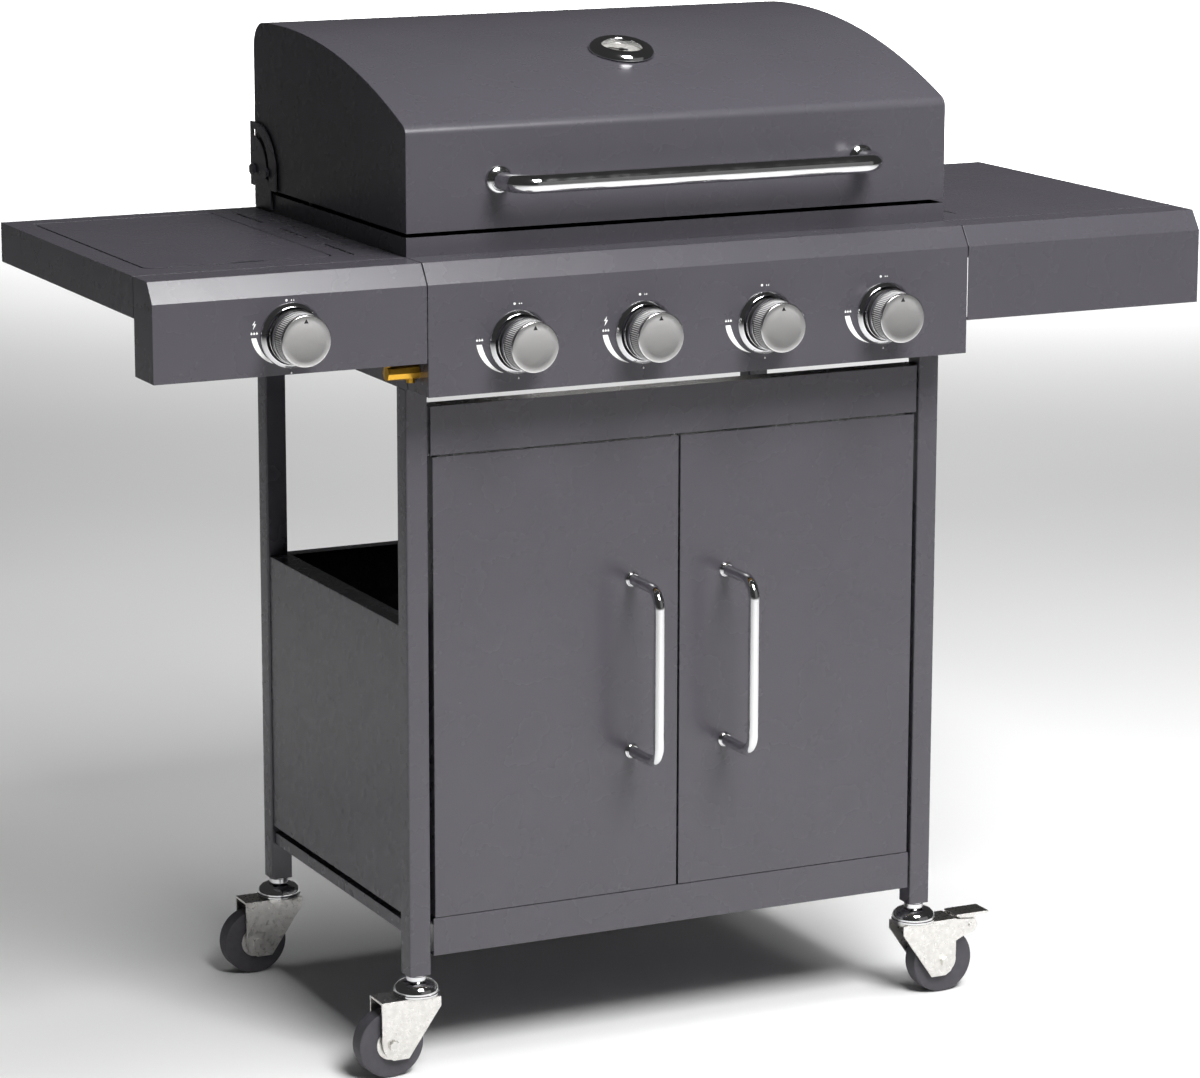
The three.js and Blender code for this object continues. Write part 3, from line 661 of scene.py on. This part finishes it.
marks = {"span": 60, "steps": 24, "proud": 0.25, "outer": (48.8, 36.3), "inner": (43, 36.2)}


def crescent(size):
    # A wedge from full width at nine o'clock to a point near eight, which closes in on the knob.
    rims = []
    for (start, end), bow in ((marks["outer"], 1.15), (marks["inner"], 0.75)):
        rim = []
        for k in range(marks["steps"]):
            share = k / marks["steps"]
            turn = math.radians(180 + marks["span"] * share)
            reach = size * (start + (end - start) * share ** bow)
            rim.append((reach * math.cos(turn), reach * math.sin(turn)))
        rims.append(rim)
    tip, turn = size * marks["inner"][1], math.radians(180 + marks["span"])
    return [*rims[0], (tip * math.cos(turn), tip * math.sin(turn)), *reversed(rims[1])]


def disc(u, v, radius, steps=20):
    return [(u + radius * math.cos(2 * math.pi * k / steps), v + radius * math.sin(2 * math.pi * k / steps))
            for k in range(steps)]


def flame(u, v, size):
    shape = [(0, -1), (0.55, -0.8), (0.75, -0.25), (0.45, 0.25), (0.3, 0.0), (0.15, 0.6), (-0.1, 1.1),
             (-0.2, 0.5), (-0.55, 0.05), (-0.75, -0.4), (-0.5, -0.85)]
    return [(u + size * a, v + size * b) for a, b in shape]


def bolt(u, v, size):
    shape = [(0.35, 1.3), (-0.55, 0.1), (0.0, 0.15), (-0.35, -1.2), (0.6, 0.35), (0.05, 0.3)]
    return [(u + size * a, v + size * b) for a, b in shape]


def makeMarks(centre, node, size, igniter):
    outlines = [crescent(size), disc(-5.5, 39.7 * size + 0.6, 1.3)]
    outlines += [flame(-45.3 * size + 2.9 * k, 5.0, 1.5) for k in (-1, 0, 1)]
    outlines += [flame(-1, -38, 1.2), flame(0, 39.9 * size + 0.4, 0.9), flame(2.4, 39.9 * size + 0.4, 0.9)]
    if igniter:
        outlines.append(bolt(-45.3 * size, 14.4 * size, 4.1 * size))
    parts = [ink(prism("mark", outline, 0, marks["proud"]), whiteInk) for outline in outlines]
    whole = moved(joined(node + "_marks", parts), Matrix.Translation(centre) @ towardsFront)
    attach(whole, bodyOf["control_panel"])


for node in sorted(name for name in frame["nodes"] if name.startswith("knob_")):
    seatAt = makeKnob(node, bodyOf[node])
    makeMarks(seatAt, node, 0.9 if node == "knob_side" else 1, node in ("knob_side", "knob_main_2"))
print("knobs made")


gauge = {
    "y": 205, "tilt": 13.67,
    "bezel": [(22.4, 1), (22.4, 6.8), (23.2, 8.4), (25.4, 9.4), (28.4, 9.4), (32, 8), (35, 5), (36, 2),
              (36, 0.9), (30, 0.9)],
    "dial": [(0, 1), (22.8, 1), (22.8, 1.8), (0, 1.8)],
    "glass": [(0, 5.4), (12, 5.2), (22.6, 4.8), (22.6, 4.2), (12, 4.6), (0, 4.8)],
    "ticks": 24,
    "stem": [(0, -50), (2.6, -49), (3, -47), (3, -8), (7, -8), (7, -2), (4.4, -2), (4.4, 1), (0, 1)],
}


def makeGauge():
    tilt = math.radians(gauge["tilt"])
    lean = math.asin((hood["roofY"] - gauge["y"]) / hood["roofRadius"])
    z = hood["roofZ"] + hood["roofRadius"] * math.cos(lean)
    seat = Matrix.Translation(rig(0, gauge["y"], z)) @ Matrix.Rotation(tilt, 4, "X")
    ticks = grow("ticks", blockRing, {"Count": gauge["ticks"], "Radius": 18.8 * mm,
                                      "Size": [3.2 * mm, 0.9 * mm, 0.3 * mm], "Material": blackInk})
    moved(ticks, Matrix.Translation((0, 0, 1.9 * mm)))
    needle = prism("needle", [(-2, -7), (2, -7), (0.7, 15), (-0.7, 15)], 2.6, 3.1)
    moved(needle, Matrix.Rotation(math.radians(62), 4, "Z"))
    parts = [
        ink(shade(lathe("bezel", gauge["bezel"], 96, closed=True), 50), chrome),
        ink(lathe("dial", gauge["dial"], 64), dialCard), ink(needle, blackInk),
        ink(shade(lathe("hub", [(0, 1.8), (3, 1.8), (3, 3.4), (0, 3.6)], 24)), blackInk), ticks,
        ink(shade(lathe("stem", gauge["stem"], 24)), chrome),
    ]
    whole = moved(joined("thermometer_finished", parts), seat)
    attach(whole, bodyOf["thermometer"])
    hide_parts("thermometer")
    cover = moved(shade(lathe("thermometer_glass", gauge["glass"], 64)), seat)
    settle(cover, "thermometer", glass, stands=False)


makeGauge()
print("thermometer made")


caster = {
    "dome": [(0, -809.6), (8, -809.6), (8, -806.9), (5, -806.9), (5, -803), (24.4, -803), (25, -802.4),
             (25, -800.6), (24.2, -799.8), (24.6, -797.4), (22.6, -792.8), (18.4, -789.4), (12.6, -787.6),
             (11, -787.4), (11, -782.6), (10.4, -782), (10.4, -756), (0, -756)],
    "trail": 33.5, "axle": -853.0, "wheel": 37.5,
    "tread": [(17.4, -10.4), (35, -11), (36.9, -10.2), (37.5, -8.6), (37.5, 8.6), (36.9, 10.2), (35, 11),
              (17.4, 10.4)],
    "hub": [(4.4, -12.6), (8.6, -12.6), (9.2, -12), (9.6, -11.2), (15.8, -11), (17.2, -10.8), (17.6, -9.8),
            (17.6, 9.8), (17.2, 10.8), (15.8, 11), (9.6, 11.2), (9.2, 12), (8.6, 12.6), (4.4, 12.6)],
}


def makeCaster(name, side):
    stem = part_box("caster_stem_" + name)
    axis = Vector(((stem[0].x + stem[1].x) / 2, (stem[0].y + stem[1].y) / 2, tableZ))
    dome = shade(lathe(f"caster_stem_{name}_finished", caster["dome"], 64), 40)
    moved(dome, Matrix.Translation(axis))
    settle(dome, "caster_stem_" + name, chrome)
    fork = soften(cadCopy(f"caster_fork_{name}_finished", "caster_fork_" + name), 0.5, 2, 50)
    settle(fork, "caster_fork_" + name)
    hubPlace = axis + Vector((side * caster["trail"] * mm, 0, caster["axle"] * mm))
    parts = [
        ink(shade(lathe("tread", caster["tread"], 96, closed=True), 40), tread),
        ink(shade(lathe("hub", caster["hub"], 64, closed=True), 40), zinc),
    ]
    wheel = moved(joined(f"caster_wheel_{name}_finished", parts), Matrix.Translation(hubPlace) @ towardsFront)
    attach(wheel, bodyOf["caster_wheel_" + name])
    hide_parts("caster_wheel_" + name)


for name, side in (("front_left", -1), ("front_right", 1), ("back_left", -1), ("back_right", 1)):
    makeCaster(name, side)
print("casters made")


tent = {"half": 34, "ridge": 4, "front": 62, "back": 472, "low": -44, "high": -26, "thick": 1.2}


def makeHeatTents():
    # A folded ridge of sheet over each burner tube.
    half, ridge = tent["half"], tent["ridge"]
    upper = [(-half, tent["low"]), (-ridge, tent["high"]), (ridge, tent["high"]), (half, tent["low"])]
    roof = upper + [(u, v - tent["thick"]) for u, v in reversed(upper)]
    for k in range(4):
        low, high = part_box(f"burner_{k + 1}")
        middle = (low.x + high.x) / 2 / mm
        piece = prism(f"heat_tent_{k + 1}", roof, -tent["back"], -tent["front"])
        moved(piece, Matrix.Translation(rig(middle, 0, 0)) @ towardsFront)
        settle(soften(piece, 0.4), "burner_1", stands=False)


makeHeatTents()
print("heat tents made")
for node in sorted(name for name in frame["nodes"] if name.startswith("valve_stem_")):
    frame["nodes"][node].data.materials.clear()
    frame["nodes"][node].data.materials.append(brass)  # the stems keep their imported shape


studio = {"floor": 60, "world": 0.04}


def makeFloor():
    size = studio["floor"] / 2
    floor = fromPoints("studio_floor", [(-size, -size, floorZ), (size, -size, floorZ), (size, size, floorZ),
                                        (-size, size, floorZ)], [[0, 1, 2, 3]])
    material, tree, shader = startMaterial("paleStudioFloor", "f4f4f4", 0.9, 0.0)
    spreadColour(tree, shader, objectNoise(tree, 900, 1), hexColour("f2f2f2"), hexColour("f6f6f6"))
    floor.data.materials.append(material)


lights = {
    "softbox": {"place": (200, -2300, 2500), "aim": (0, 150, 0), "size": (1.4, 1.5),
                "power": 170, "spread": 180, "mirrored": True},
    "frontWall": {"place": (3400, -5600, 1300), "aim": (600, 0, -100), "size": (7, 4),
                  "power": 14, "spread": 180, "mirrored": True},
    "ceiling": {"place": (900, -300, 3000), "aim": (500, 200, -890), "size": (2.2, 2.5), "power": 50,
                "spread": 120, "mirrored": False},
    "frontFloor": {"place": (1500, -3300, 2600), "aim": (1500, -3300, -890), "size": (2.5, 2), "power": 36,
                   "spread": 180, "mirrored": False},
    "backdrop": {"place": (5200, 8500, 5200), "aim": (5200, 9500, -890), "size": (6, 8), "power": 900,
                 "spread": 95, "mirrored": False},
}


def makeLights():
    for name, light in lights.items():
        data = bpy.data.lights.new(name, "AREA")
        data.shape = "RECTANGLE"
        data.size, data.size_y = light["size"]
        data.energy = light["power"]
        data.spread = math.radians(light["spread"])
        lamp = bpy.data.objects.new(name, data)
        lamp.location = rig(*light["place"])
        lamp.rotation_euler = (rig(*light["aim"]) - lamp.location).to_track_quat("-Z", "Y").to_euler()
        lamp.visible_glossy = light["mirrored"]
        bpy.context.scene.collection.objects.link(lamp)


def makeWorld():
    world = bpy.data.worlds.new("studio")
    world.use_nodes = True
    backdrop = world.node_tree.nodes["Background"]
    backdrop.inputs["Color"].default_value = (1, 1, 1, 1)
    backdrop.inputs["Strength"].default_value = studio["world"]
    bpy.context.scene.world = world
    bpy.context.scene.view_settings.view_transform = "Standard"


makeFloor()
makeLights()
makeWorld()
print("studio made")
